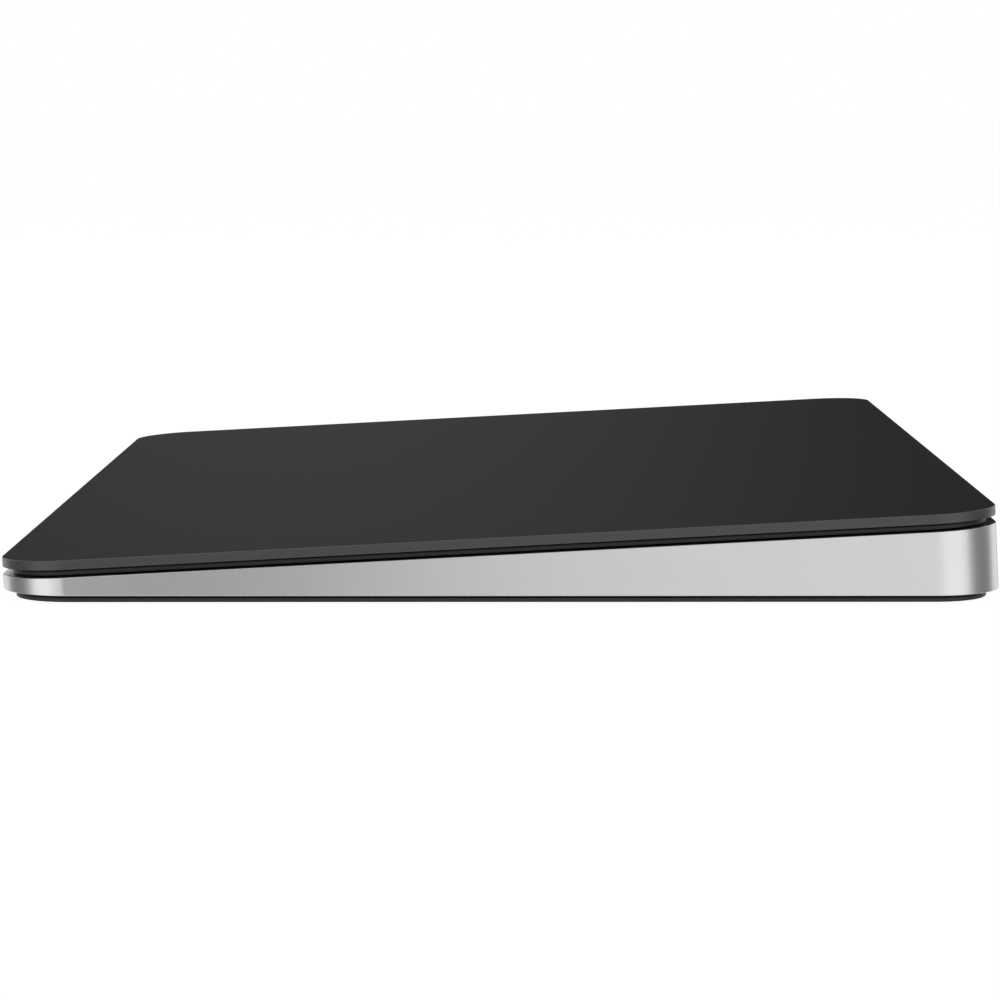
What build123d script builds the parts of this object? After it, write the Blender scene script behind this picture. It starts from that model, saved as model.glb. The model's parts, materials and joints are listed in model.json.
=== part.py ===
from build123d import *
from math import atan2, cos, hypot, sin, sqrt, tan
import os

# A desk trackpad: a machined aluminium wedge that carries a black glass touch plate.
# Lengths are millimetres. X runs across, +Y to the thick rear edge and +Z up from the desk.
# The origin lies on the desk, under the middle of the outline.
# The touch surface leans forward, and the walls stand square to it. Pieces of the touch plate
# are placed in its frame: across (x), up the slope (s) and out of the surface (n, under it < 0).

# Whole trackpad, over the glass and the shell, with the feet on the desk
width = 160.0
depth = 114.9
front_height = 4.9
rear_height = 10.9
corner_radius = 8.0

# Touch plate, from the touch surface down
glass_thickness = 1.1
glass_edge_break = 0.15
film_thickness = 0.12
film_inset = 2.2
carrier_thickness = 0.6
carrier_inset = 1.15
plate_gap = 0.26

# Base, from the desk up
foot_height = 0.32
foot_radius = 4.5
foot_corner_gap = 13.0
foot_seat_depth = 0.2
foot_fit = 0.05
cover_thickness = 0.7
cover_inset = 1.4
cover_edge_break = 0.1
adhesive_thickness = 0.2
adhesive_inset = 0.4
deck_thickness = 0.6
wall = 2.4
edge_break = 0.2

# Screws, which stand a little clear of their holes
screw_radius = 0.7
head_radius = 1.3
head_height = 0.45
screw_fit = 0.05
screw_bite = 0.85
deck_bite = 0.4

# Flexures, the four leaf springs that carry the touch plate
flexure_length = 24.0
flexure_width = 8.0
flexure_side_gap = 3.6
flexure_end_gap = 4.9
leaf_thickness = 0.4
leaf_clearance = 0.25
leaf_slit_width = 1.2
leaf_slit_depth = 5.4
leaf_slit_pitch = 3.6
seat_length = 6.5
gel_size = 6.5
gel_end_gap = 0.8
gauge_length = 4.0
gauge_width = 1.8
gauge_thickness = 0.1

# Haptic drive, a row of wound teeth under a steel armature
haptic_forward = 7.0
tooth_count = 4
tooth_pitch = 10.0
tooth_width = 4.0
tooth_length = 16.0
tooth_height = 1.1
yoke_thickness = 0.5
yoke_border = 3.0
coil_wall = 1.7
coil_corner = 1.0
coil_height = 0.9
coil_fit = 0.1
magnetic_gap = 0.35
armature_thickness = 0.8
pole_width = 4.5
rail_width = 3.0
bracket_ear = 5.0
bracket_border = 1.0

# Battery
battery_gap = 5.0
battery_rear_gap = 2.0
battery_side_gap = 9.6
battery_headroom = 0.55
cell_spacing = 3.0
cell_edge_break = 0.5
tape_thickness = 0.15
tape_inset = 1.0
tab_width = 3.0
tab_length = 2.5
tab_thickness = 0.15
tab_pitch = 10.0
battery_board_end = 1.8
battery_board_length = 2.8
battery_board_gap = 0.4
rib_width = 3.0
rib_inset = 6.0

# Main board
board_thickness = 0.8
board_standoff = 0.5
board_side_gap = 11.6
board_front_gap = 6.0
board_rear_gap = 4.0
board_corner = 2.0
notch_side_gap = 1.0
notch_front_gap = 2.0
board_screw_inset = 4.0
pad_size = 3.2
shield_height = 1.3
shield_metal = 0.15
shield_side_inset = 8.0
shield_rear_inset = 9.0
shield_tail_gap = 2.2
chip_size = 8.0
chip_thickness = 0.6

# Flat cables
flex_thickness = 0.15
flex_end_length = 2.5
flex_end_height = 0.8
lead_width = 5.0
lead_inset = 1.2
lead_overlap = 4.5
port_flex_width = 8.0
port_flex_gap = 0.6
port_flex_bend = 0.9
port_flex_overlap = 5.0
port_flex_run_out = 0.6
connector_width = 13.0
connector_length = 4.0
connector_height = 0.9
connector_side_inset = 7.5
connector_front_inset = 3.0
tail_width = 12.0
tail_grip = 1.8
tail_straight = 2.0
tail_run = 6.8
tail_land = 2.5
tail_bend = 6.0
tail_fit = 0.05
window_side_gap = 0.5
window_end_gap = 0.5
window_reach = 4.0

# Antenna on the left wall
antenna_length = 28.0
antenna_width = 2.0
antenna_wall_gap = 0.3
antenna_headroom = 0.6
antenna_forward = 10.0
antenna_tongue_width = 4.0

# Rear port, with the standard sizes of a reversible 24-contact socket
receptacle_width = 8.94
receptacle_height = 3.16
receptacle_length = 7.3
receptacle_metal = 0.3
receptacle_recess = 0.35
mouth_depth = 6.2
port_fit = 0.1
port_edge_break = 0.15
tongue_width = 6.69
tongue_thickness = 0.7
tongue_setback = 0.8
tongue_length = 4.3
tongue_fit = 0.03
port_standoff = 1.0
port_board_length = 10.8
port_board_left = 14.0
port_board_right_gap = 8.0
port_board_wall_gap = 0.6
port_screw_inset = 2.0
port_screw_gap = 6.0

# Power switch beside the port
switch_x = 38.0
switch_slot_length = 8.0
switch_slot_height = 3.0
bezel_fit = 0.05
bezel_rim = 0.5
bezel_recess = 0.1
bezel_floor = 0.4
window_depth = 1.2
knob_length = 4.4
knob_fit = 0.1
knob_proud = 0.1
grip_count = 3
grip_pitch = 0.9
grip_width = 0.35
grip_depth = 0.15
mark_thickness = 0.12
mark_gap = 0.08
stem_length = 1.0
stem_height = 0.6
stem_grip = 1.0
switch_body_length = 7.6
switch_body_depth = 3.0
switch_body_height = 3.0
switch_body_gap = 0.15

overrun = 1.0

# Levels above the desk
cover_top = foot_height + cover_thickness
shell_bottom = cover_top + adhesive_thickness
deck_top = shell_bottom + deck_thickness
board_bottom = deck_top + board_standoff
board_top = board_bottom + board_thickness
port_board_bottom = deck_top + port_standoff
port_board_top = port_board_bottom + board_thickness
port_level = port_board_top + receptacle_height / 2

# The slope: its run is shorter than the depth, because the rear wall leans out below the glass
rise = rear_height - front_height
run = (depth + sqrt(depth**2 - 4 * (rear_height - shell_bottom) * rise)) / 2
tilt = atan2(rise, run)
slope_length = hypot(run, rise)
surface = Plane(
    origin=(0, (run - depth) / 2, (front_height + rear_height) / 2),
    x_dir=(1, 0, 0),
    z_dir=(0, -sin(tilt), cos(tilt)),
)

# Layers under the touch surface, as depths n
film_top = -glass_thickness
carrier_top = film_top - film_thickness
plate_underside = carrier_top - carrier_thickness
rim_level = plate_underside - plate_gap

STANDING = (Align.CENTER, Align.CENTER, Align.MIN)
SIDES = {"left": -1, "right": 1}
ENDS = {"front": -1, "rear": 1}


def on_surface(x, s, n):
    """Place in the leaning frame of the touch surface."""
    return surface * Pos(x, s, n)


def layer_height(y, n):
    """Height over the desk, at y, of the layer that lies n from the touch surface."""
    return surface.origin.Z + (y - surface.origin.Y) * tan(tilt) + n / cos(tilt)


def layer_depth(s, z):
    """Depth n at which the line square to the surface at s passes the height z."""
    return (z - surface.origin.Z - s * sin(tilt)) / cos(tilt)


def level_y(s, n):
    """Distance y of a point of the leaning frame."""
    return surface.origin.Y + s * cos(tilt) - n * sin(tilt)


def rear_wall_y(z):
    """Outer face of the leaning rear wall at the height z."""
    return depth / 2 - (z - shell_bottom) * tan(tilt)


def slab(size_x, size_y, thickness, corner=0):
    """Flat plate standing on its base plane, with round corners where it has any."""
    outline = RectangleRounded(size_x, size_y, corner) if corner else Rectangle(size_x, size_y)
    return extrude(outline, thickness)


def post(radius, height):
    """Round post standing on its base plane."""
    return Cylinder(radius, height, align=STANDING)


def above(level):
    """All the space over a level, which cuts a leaning piece off flat."""
    return Pos(0, 0, level) * Box(2 * width, 2 * depth, 2 * rear_height, align=STANDING)


def leaning_block(x, s, size_x, size_s, corner, top, level):
    """Block square to the touch surface, from the layer top down to a flat level."""
    block = on_surface(x, s, top - rear_height) * slab(size_x, size_s, rear_height, corner)
    return block & above(level)


def wedge(inset, top, level):
    """The trackpad's wedge, drawn in by an inset, from the layer top down to a flat level."""
    size_x = width - 2 * inset
    size_s = slope_length - 2 * inset
    return leaning_block(0, 0, size_x, size_s, corner_radius - inset, top, level)


def wall_bar(x, z, length, height, start, reach):
    """Round-ended bar that runs from y = start towards the front."""
    face = Plane(origin=(x, start, z), x_dir=(1, 0, 0), z_dir=(0, -1, 0))
    return extrude(face * SlotOverall(length, height), reach)


def ribbon(x, points, bend, cable_width):
    """Flat cable whose middle runs through the (y, z) points of a side view."""
    path = FilletPolyline(*[(x, y, z) for y, z in points], radius=bend)
    section = Plane(origin=path @ 0, x_dir=(1, 0, 0), z_dir=path % 0)
    return sweep(section * Rectangle(cable_width, flex_thickness), path=path)


def pan_screw(length):
    """Screw that points down, with the underside of its head on its base plane."""
    return post(head_radius, head_height) + Pos(0, 0, -length) * post(screw_radius, length)


def screw_hole(length):
    """Hole that such a screw fits, from its base plane down."""
    return Pos(0, 0, -length - screw_fit) * post(screw_radius + screw_fit, length + screw_fit)


def joined(pieces):
    """Several separate solids as one node."""
    return Part(children=list(pieces))


# Base plane of the shell, which the cover and the feet follow
base_front = -depth / 2 + (front_height - shell_bottom) * tan(tilt)
base_length = depth / 2 - base_front
base_middle = (depth / 2 + base_front) / 2

# Flexures stand near the corners, fixed at their outer ends
cavity_half_width = width / 2 - wall
cavity_half_slope = slope_length / 2 - wall
flexure_x = cavity_half_width - flexure_side_gap - flexure_length / 2
flexure_s = cavity_half_slope - flexure_end_gap - flexure_width / 2
leaf_underside = layer_depth(-flexure_s - flexure_width / 2, deck_top) + leaf_clearance
leaf_top = leaf_underside + leaf_thickness
gel_thickness = plate_underside - leaf_top
seat_x = flexure_x + (flexure_length - seat_length) / 2
gel_x = flexure_x - (flexure_length - gel_size) / 2 + gel_end_gap

# The haptic drive hangs from the plate's underside downwards
yoke_width = tooth_count * tooth_pitch
yoke_length = tooth_length + 2 * yoke_border
armature_underside = plate_underside - armature_thickness
tooth_top = armature_underside - magnetic_gap
yoke_top = tooth_top - tooth_height
bracket_top = yoke_top - yoke_thickness
bracket_width = yoke_width + 2 * bracket_ear
bracket_length = yoke_length + 2 * bracket_border
bracket_front = level_y(-haptic_forward - bracket_length / 2, bracket_top)
bracket_rear = level_y(-haptic_forward + bracket_length / 2, bracket_top)

# Battery between the haptic drive and the rear flexures
battery_front = bracket_rear + battery_gap
battery_rear = level_y(flexure_s - flexure_width / 2, leaf_underside) - battery_rear_gap
battery_length = battery_rear - battery_front
battery_bottom = deck_top + tape_thickness
battery_top = layer_height(battery_front, plate_underside) - battery_headroom
cell_width = cavity_half_width - battery_side_gap - cell_spacing / 2
cell_x = (cell_spacing + cell_width) / 2
battery_board_y = battery_front - battery_board_gap - battery_board_length / 2

# Main board, a U around the haptic drive
board_half_width = cavity_half_width - board_side_gap
board_front = level_y(-flexure_s + flexure_width / 2, leaf_underside) + board_front_gap
board_rear = battery_front - board_rear_gap
board_length = board_rear - board_front
board_y = (board_front + board_rear) / 2
notch_half_width = bracket_width / 2 + notch_side_gap
notch_front = bracket_front - notch_front_gap

# The battery's lead and the port's cable cross side by side to the board's right wing
lead_x = notch_half_width + lead_inset + lead_width / 2
battery_board_width = 2 * (lead_x + lead_width / 2 + battery_board_end)
port_flex_x = battery_board_width / 2 + port_flex_gap + port_flex_width / 2

# Sensor connector and the tail that climbs from it to the film
connector_x = -board_half_width + connector_side_inset + connector_width / 2
connector_y = board_front + connector_front_inset + connector_length / 2
tail_start_y = connector_y + connector_length / 2 - tail_grip
tail_level = board_top + connector_height / 2
tail_turn_y = connector_y + connector_length / 2 + tail_straight
tail_top_n = carrier_top - flex_thickness / 2
tail_top_y = tail_turn_y + tail_run
tail_top_s = (tail_top_y - surface.origin.Y + tail_top_n * sin(tilt)) / cos(tilt)
tail_end_s = tail_top_s + tail_land
window_front_s = tail_top_s - window_reach
window_rear_s = tail_end_s + window_end_gap
shield_front = tail_top_y + shield_tail_gap
shield_rear = board_rear - shield_rear_inset

# Port board along the rear wall
inner_wall_y = rear_wall_y(port_level) - wall / cos(tilt)
port_board_rear = inner_wall_y - port_board_wall_gap
port_board_y = port_board_rear - port_board_length / 2
port_board_right = switch_x + port_board_right_gap
port_board_width = port_board_left + port_board_right
port_board_x = (port_board_right - port_board_left) / 2
mouth_y = rear_wall_y(port_level) - receptacle_recess

# Switch window, knob and travel
switch_face_y = rear_wall_y(port_level)
window_length = switch_slot_length - 2 * (bezel_fit + bezel_rim)
window_height = switch_slot_height - 2 * (bezel_fit + bezel_rim)
floor_y = switch_face_y - window_depth
switch_body_y = inner_wall_y - switch_body_gap
knob_travel = window_length - knob_length - 2 * knob_fit
knob_x = switch_x - knob_travel / 2
slit_length = knob_travel + stem_length + 2 * knob_fit
slit_height = stem_height + 2 * knob_fit


def corners():
    """Name, side and end of each corner, as factors of -1 or 1."""
    return [
        (f"{end}_{side}", across, along)
        for end, along in ENDS.items()
        for side, across in SIDES.items()
    ]


def foot_places():
    """Middle of each foot, by its name."""
    half_x = width / 2 - foot_corner_gap
    half_y = base_length / 2 - foot_corner_gap
    return {
        f"foot_{name}": (across * half_x, base_middle + along * half_y) for name, across, along in corners()
    }


def flexure_screws():
    """Place under the head of the screw at each flexure's fixed end, with the screw's length."""
    length = leaf_thickness + screw_bite
    return [
        (on_surface(across * seat_x, along * flexure_s, leaf_top), length)
        for name, across, along in corners()
    ]


def haptic_screws():
    """Place under the head of the screw at each end of the haptic bracket, with its length."""
    x = (bracket_width - bracket_ear) / 2
    length = bracket_top - layer_depth(-haptic_forward, deck_top) + deck_bite
    return [(on_surface(across * x, -haptic_forward, bracket_top), length) for across in SIDES.values()]


def board_screws():
    """Places under the heads on the main board's wings and bridge, with the screws' length."""
    x = board_half_width - board_screw_inset
    rear = board_rear - board_screw_inset
    front = board_front + board_screw_inset
    length = board_thickness + screw_bite
    return [(Pos(*place, board_top), length) for place in ((-x, rear), (x, rear), (0, front))]


def port_screws():
    """Places under the heads on each side of the socket, with the screws' length."""
    x = receptacle_width / 2 + port_screw_gap
    y = port_board_y - port_board_length / 2 + port_screw_inset
    length = board_thickness + screw_bite
    return [(Pos(across * x, y, port_board_top), length) for across in SIDES.values()]


def make_screws(places):
    """Screws in their holes, each a solid of its own."""
    return joined(place * pan_screw(length) for place, length in places)


def drilled(body, places):
    """The body with a hole for each screw."""
    for place, length in places:
        body -= place * screw_hole(length)
    return body


def port_hole():
    """Opening for the socket through the rear wall."""
    length = receptacle_width + 2 * port_fit
    height = receptacle_height + 2 * port_fit
    return wall_bar(0, port_level, length, height, depth / 2 + overrun, wall + 2 * overrun)


def switch_hole():
    """Round-ended slot for the switch through the rear wall."""
    length, height = switch_slot_length, switch_slot_height
    return wall_bar(switch_x, port_level, length, height, depth / 2 + overrun, wall + 2 * overrun)


def broken_wedge():
    """Solid wedge with its rear openings cut and every outer edge broken by a small chamfer."""
    body = wedge(0, rim_level, shell_bottom) - port_hole() - switch_hole()
    body = body.solid()
    openings = body.faces().sort_by(Axis.Y)[-1].inner_wires()
    body = body.chamfer(port_edge_break, None, [edge for wire in openings for edge in wire.edges()])
    rim = body.faces().sort_by(Axis(surface.origin, surface.z_dir))[-1].outer_wire()
    foot = body.faces().sort_by(Axis.Z)[0].outer_wire()
    return body.chamfer(edge_break, None, rim.edges() + foot.edges())


def make_shell():
    """Aluminium wedge, open at the top, with seats and pads on its deck and two openings at the rear."""
    body = broken_wedge() - wedge(wall, rim_level + overrun, deck_top)
    root = deck_top - deck_thickness / 2
    for name, across, along in corners():
        seat = (across * seat_x, along * flexure_s, seat_length, flexure_width)
        body += leaning_block(*seat, 0, leaf_underside, root)
    for across in SIDES.values():
        rib = slab(rib_width, battery_board_length, board_bottom - root)
        body += Pos(across * (battery_board_width / 2 - rib_inset), battery_board_y, root) * rib
    for screws, level in ((board_screws(), board_bottom), (port_screws(), port_board_bottom)):
        for place, length in screws:
            pad = slab(pad_size, pad_size, level - root)
            body += Pos(place.position.X, place.position.Y, root) * pad
    return drilled(body, flexure_screws() + haptic_screws() + board_screws() + port_screws())


def make_bottom_cover():
    """Black cover glued under the shell, with a shallow seat for each foot."""
    size_x = width - 2 * cover_inset
    size_y = base_length - 2 * cover_inset
    cover = slab(size_x, size_y, cover_thickness, corner_radius - cover_inset)
    cover = chamfer(cover.faces().sort_by(Axis.Z)[0].edges(), cover_edge_break)
    cover = Pos(0, base_middle, foot_height) * cover
    for x, y in foot_places().values():
        cover -= Pos(x, y, foot_height - overrun) * post(foot_radius + foot_fit, overrun + foot_seat_depth)
    return cover


def make_cover_adhesive():
    """Sheet of adhesive between the cover and the shell."""
    inset = cover_inset + adhesive_inset
    sheet = slab(width - 2 * inset, base_length - 2 * inset, adhesive_thickness, corner_radius - inset)
    return Pos(0, base_middle, cover_top) * sheet


def make_foot(x, y):
    """Round rubber foot that stands on the desk and reaches into its seat."""
    return Pos(x, y, 0) * post(foot_radius, foot_height + foot_seat_depth)


def make_touch_glass():
    """Black glass plate with a polished edge."""
    plate = slab(width, slope_length, glass_thickness, corner_radius)
    plate = chamfer(plate.faces().sort_by(Axis.Z)[-1].edges(), glass_edge_break)
    return on_surface(0, 0, -glass_thickness) * plate


def make_sensor_film():
    """Electrode film bonded under the glass."""
    size_x = width - 2 * film_inset
    size_s = slope_length - 2 * film_inset
    return on_surface(0, 0, carrier_top) * slab(size_x, size_s, film_thickness, corner_radius - film_inset)


def make_carrier_plate():
    """Stiff plate under the film, with a window for the sensor's tail."""
    size_x = width - 2 * carrier_inset
    size_s = slope_length - 2 * carrier_inset
    plate = slab(size_x, size_s, carrier_thickness, corner_radius - carrier_inset)
    window = slab(tail_width + 2 * window_side_gap, window_rear_s - window_front_s, carrier_thickness)
    middle = (window_rear_s + window_front_s) / 2
    return on_surface(0, 0, plate_underside) * (plate - Pos(connector_x, middle, 0) * window)


def make_flexure(across, along):
    """Leaf spring that two slits from opposite edges make supple between its seat and its pad."""
    leaf = Rectangle(flexure_length, flexure_width)
    for half in (-1, 1):
        slit = Rectangle(leaf_slit_width, 2 * leaf_slit_depth)
        leaf -= Pos(half * leaf_slit_pitch / 2, half * flexure_width / 2) * slit
    spring = on_surface(flexure_x, along * flexure_s, leaf_underside) * extrude(leaf, leaf_thickness)
    if across < 0:
        spring = mirror(spring, about=Plane.YZ)
    return drilled(spring, flexure_screws())


def make_gel_pad(across, along):
    """Soft pad that bonds a flexure's free end to the carrier plate."""
    pad = slab(gel_size, gel_size, gel_thickness)
    return on_surface(across * gel_x, along * flexure_s, leaf_top) * pad


def make_strain_gauges():
    """One gauge on each flexure, beside its fixed end."""
    x = seat_x - seat_length / 2 - gauge_width / 2
    gauge = slab(gauge_width, gauge_length, gauge_thickness)
    return joined(
        on_surface(across * x, along * flexure_s, leaf_top) * gauge for name, across, along in corners()
    )


def tooth_places():
    """Middle of each tooth of the haptic drive, across the trackpad."""
    return [(index - (tooth_count - 1) / 2) * tooth_pitch for index in range(tooth_count)]


def make_haptic_bracket():
    """Wedge that stands on the deck and holds the haptic drive parallel to the plate."""
    block = leaning_block(0, -haptic_forward, bracket_width, bracket_length, 0, bracket_top, deck_top)
    return drilled(block, haptic_screws())


def make_haptic_core():
    """Yoke with its row of teeth."""
    core = slab(yoke_width, yoke_length, yoke_thickness)
    for x in tooth_places():
        core += Pos(x, 0, yoke_thickness) * slab(tooth_width, tooth_length, tooth_height)
    return on_surface(0, -haptic_forward, bracket_top) * core


def make_haptic_coils():
    """One flat coil around each tooth."""
    inner_x = tooth_width + 2 * coil_fit
    inner_s = tooth_length + 2 * coil_fit
    ring = Rectangle(inner_x + 2 * coil_wall, inner_s + 2 * coil_wall)
    ring = chamfer(ring.vertices(), coil_corner) - Rectangle(inner_x, inner_s)
    coil = extrude(ring, coil_height)
    return joined(on_surface(x, -haptic_forward, yoke_top) * coil for x in tooth_places())


def make_haptic_armature():
    """Steel ladder bonded under the plate: a pole over each tooth, joined by two rails."""
    ladder = slab(yoke_width, yoke_length, armature_thickness)
    gap_width = tooth_pitch - pole_width
    for left, right in zip(tooth_places(), tooth_places()[1:]):
        window = slab(gap_width, yoke_length - 2 * rail_width, armature_thickness)
        ladder -= Pos((left + right) / 2, 0, 0) * window
    return on_surface(0, -haptic_forward, armature_underside) * ladder


def make_battery_cells():
    """Two pouch cells side by side, each with two tabs that lie on the battery board."""
    cell = slab(cell_width, battery_length, battery_top - battery_bottom)
    ends = cell.faces().filter_by(Axis.Z).edges()
    cell = chamfer(ends, cell_edge_break)
    cells = []
    for across in SIDES.values():
        pouch = Pos(across * cell_x, (battery_front + battery_rear) / 2, battery_bottom) * cell
        for count in (1, 2):
            y = battery_front - tab_length / 2 + cell_edge_break
            tab = slab(tab_width, tab_length + cell_edge_break, tab_thickness)
            pouch += Pos(across * count * tab_pitch, y, board_top) * tab
        cells.append(pouch)
    return joined(cells)


def make_battery_tape():
    """Adhesive under each cell."""
    tape = slab(cell_width - 2 * tape_inset, battery_length - 2 * tape_inset, tape_thickness)
    y = (battery_front + battery_rear) / 2
    return joined(Pos(across * cell_x, y, deck_top) * tape for across in SIDES.values())


def make_battery_board():
    """Narrow protection board along the front of the cells."""
    board = slab(battery_board_width, battery_board_length, board_thickness)
    return Pos(0, battery_board_y, board_bottom) * board


def make_battery_lead():
    """Flat lead from the battery board to the main board, with a connector on its end."""
    rear = battery_board_y + battery_board_length / 2
    front = board_rear - lead_overlap
    strip = slab(lead_width, rear - front, flex_thickness)
    end = slab(lead_width, flex_end_length, flex_end_height)
    return (
        Pos(lead_x, (front + rear) / 2, board_top) * strip
        + Pos(lead_x, front + flex_end_length / 2, board_top) * end
    )


def make_main_board():
    """U-shaped board with a hole for each of its screws."""
    board = slab(2 * board_half_width, board_length, board_thickness, board_corner)
    board = Pos(0, board_y, board_bottom) * board
    notch_length = board_rear - notch_front + overrun
    notch = slab(2 * notch_half_width, notch_length, board_thickness)
    board -= Pos(0, notch_front + notch_length / 2, board_bottom) * notch
    return drilled(board, board_screws())


def make_board_shield(across):
    """Thin metal can over one wing of the board."""
    size_x = board_half_width - notch_half_width - 2 * shield_side_inset
    size_y = shield_rear - shield_front
    can = slab(size_x, size_y, shield_height)
    can -= slab(size_x - 2 * shield_metal, size_y - 2 * shield_metal, shield_height - shield_metal)
    x = across * (board_half_width + notch_half_width) / 2
    return Pos(x, (shield_front + shield_rear) / 2, board_top) * can


# Chips on the front bridge: place across and along the board and size, as shares of the board's
# half width, of the bridge's length and of the largest chip
chip_shares = [
    (-0.30, 0.5, 1.0),
    (-0.08, 0.5, 0.6),
    (0.10, 0.5, 0.8),
    (0.30, 0.5, 0.5),
    (0.60, 0.5, 0.9),
]


def make_board_chips():
    """Chips on the front bridge of the main board."""
    bridge = notch_front - board_front
    return joined(
        Pos(across * board_half_width, board_front + along * bridge, board_top)
        * slab(size * chip_size, size * chip_size, chip_thickness)
        for across, along, size in chip_shares
    )


def make_sensor_connector():
    """Connector with a slot that grips the sensor's tail."""
    block = slab(connector_width, connector_length, connector_height)
    slot = slab(tail_width + 2 * tail_fit, tail_grip + tail_fit + overrun, flex_thickness + 2 * tail_fit)
    start = connector_length / 2 - tail_grip - tail_fit
    middle = start + (tail_grip + tail_fit + overrun) / 2
    block -= Pos(0, middle, (connector_height - flex_thickness) / 2 - tail_fit) * slot
    return Pos(connector_x, connector_y, board_top) * block


def make_sensor_tail():
    """Flat cable from the connector up through the carrier's window to the film."""
    end = on_surface(0, tail_end_s, tail_top_n).position
    turn = on_surface(0, tail_top_s, tail_top_n).position
    points = [(tail_start_y, tail_level), (tail_turn_y, tail_level), (turn.Y, turn.Z), (end.Y, end.Z)]
    return ribbon(connector_x, points, tail_bend, tail_width)


def make_antenna():
    """Antenna on a moulded bar along the left wall, with a tongue onto the main board."""
    x = -cavity_half_width + antenna_wall_gap + antenna_width / 2
    height = layer_height(-antenna_forward - antenna_length / 2, plate_underside) - antenna_headroom
    bar = Pos(x, -antenna_forward, deck_top) * slab(antenna_width, antenna_length, height - deck_top)
    reach = -board_half_width + flex_end_length - x
    tongue = slab(reach, antenna_tongue_width, flex_thickness)
    return bar + Pos(x + reach / 2, -antenna_forward, board_top) * tongue


def make_port_board():
    """Board that carries the socket and the switch."""
    board = slab(port_board_width, port_board_length, board_thickness)
    return drilled(Pos(port_board_x, port_board_y, port_board_bottom) * board, port_screws())


def make_usb_receptacle():
    """Metal shell of the socket, closed at the back."""
    body = wall_bar(0, port_level, receptacle_width, receptacle_height, mouth_y, receptacle_length)
    length = receptacle_width - 2 * receptacle_metal
    height = receptacle_height - 2 * receptacle_metal
    return body - wall_bar(0, port_level, length, height, mouth_y + overrun, mouth_depth + overrun)


def make_usb_tongue():
    """Contact tongue with the block that holds it at the back of the socket."""
    back_y = mouth_y - mouth_depth
    block_depth = mouth_depth - tongue_setback - tongue_length
    length = receptacle_width - 2 * receptacle_metal - 2 * tongue_fit
    height = receptacle_height - 2 * receptacle_metal - 2 * tongue_fit
    block = wall_bar(0, port_level, length, height, back_y + block_depth, block_depth)
    tongue = slab(tongue_width, block_depth + tongue_length, tongue_thickness)
    middle = back_y + (block_depth + tongue_length) / 2
    return block + Pos(0, middle, port_level - tongue_thickness / 2) * tongue


def make_port_flex():
    """Flat cable from the port board over a cell to the main board, with a connector on each end."""
    lift = flex_thickness / 2
    front = board_rear - port_flex_overlap
    rear = port_board_y
    points = [
        (rear, port_board_top + lift),
        (port_board_y - port_board_length / 2, port_board_top + lift),
        (battery_rear + port_flex_run_out, battery_top + lift),
        (battery_front - port_flex_run_out, battery_top + lift),
        (board_rear, board_top + lift),
        (front, board_top + lift),
    ]
    cable = ribbon(port_flex_x, points, port_flex_bend, port_flex_width)
    end = slab(port_flex_width, flex_end_length, flex_end_height)
    cable += Pos(port_flex_x, front + flex_end_length / 2, board_top) * end
    return cable + Pos(port_flex_x, rear - flex_end_length / 2, port_board_top) * end


def make_switch_bezel():
    """Round-ended insert in the wall: a rim around the window, a floor and a slit for the stem."""
    outer_length = switch_slot_length - 2 * bezel_fit
    outer_height = switch_slot_height - 2 * bezel_fit
    reach = overrun + window_depth + bezel_floor
    insert = wall_bar(switch_x, port_level, outer_length, outer_height, switch_face_y + overrun, reach)
    insert -= wall_bar(
        switch_x, port_level, window_length, window_height, switch_face_y + overrun, overrun + window_depth
    )
    slit = Box(slit_length, reach, slit_height)
    insert -= Pos(switch_x, floor_y, port_level) * slit
    return insert & wedge(bezel_recess, 0, 0)


def make_switch_mark():
    """Green inlay on the window's floor, uncovered when the knob is slid to on."""
    plate = wall_bar(
        switch_x, port_level, window_length - 2 * bezel_fit, window_height - 2 * bezel_fit,
        floor_y + mark_thickness, mark_thickness,
    )
    shown = Pos(switch_x - window_length / 2 + knob_travel / 2, floor_y, port_level)
    plate &= shown * Box(knob_travel, switch_slot_height, switch_slot_height)
    return plate - Pos(switch_x, floor_y, port_level) * Box(slit_length, switch_slot_height, slit_height)


def make_switch_knob():
    """Sliding knob with grip grooves and a stem that reaches through the slit."""
    height = window_height - 2 * knob_fit
    base_y = floor_y + mark_thickness + mark_gap
    face_y = switch_face_y + knob_proud
    knob = wall_bar(knob_x, port_level, knob_length, height, face_y, face_y - base_y)
    for index in range(grip_count):
        x = knob_x + (index - (grip_count - 1) / 2) * grip_pitch
        knob -= Pos(x, face_y, port_level) * Box(grip_width, 2 * grip_depth, 2 * height)
    stem_depth = base_y - switch_body_y + stem_grip
    stem = Pos(knob_x, base_y - stem_depth / 2, port_level) * Box(stem_length, stem_depth, stem_height)
    return knob + stem


def make_switch_body():
    """Housing of the slide switch on the port board, with a channel for the knob's stem."""
    body = Pos(switch_x, switch_body_y - switch_body_depth / 2, port_board_top) * slab(
        switch_body_length, switch_body_depth, switch_body_height
    )
    channel = Box(slit_length, 2 * (stem_grip + knob_fit), slit_height)
    return body - Pos(switch_x, switch_body_y, port_level) * channel


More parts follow.
